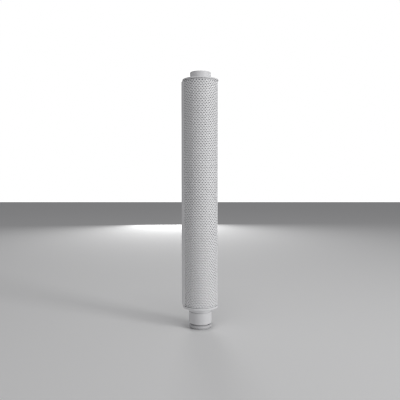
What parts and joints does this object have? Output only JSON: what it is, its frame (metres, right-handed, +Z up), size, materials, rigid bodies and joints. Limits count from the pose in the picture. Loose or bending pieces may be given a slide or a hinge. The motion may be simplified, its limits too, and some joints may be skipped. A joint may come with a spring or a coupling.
{
  "type": "inline water filter cartridge",
  "caption": "Slim cylindrical water filter cartridge: carbon block under fleece and diamond netting, between two end caps, with a closed boss on top and an outlet spigot with a seal ring below.",
  "frame": {"origin": "on the axis of the cartridge, in the plane of the nose of the spigot that it stands on", "axes": "+Z up the axis towards the closed boss; -Y is the side seen first, and the welded lap of the netting is on its left, towards -X"},
  "size_m": [0.0435, 0.0424, 0.3022],
  "materials": {
    "cap_plastic": "satin",
    "seal_rubber": "satin",
    "net_plastic": "satin",
    "fleece": "matte",
    "prefilter": "matte",
    "carbon": "matte",
    "core_plastic": "satin",
    "adhesive": "satin"
  },
  "bodies": {
    "root": {"bottom_end_cap": "cap_plastic", "top_end_cap": "cap_plastic", "spigot_o_ring": "seal_rubber", "net_sleeve": "net_plastic", "net_seam_strip": "net_plastic", "outer_fleece": "fleece", "prefilter_wrap": "prefilter", "carbon_block": "carbon", "inner_fleece": "fleece", "core_tube": "core_plastic", "top_potting": "adhesive", "bottom_potting": "adhesive"}
  },
  "joints": []
}
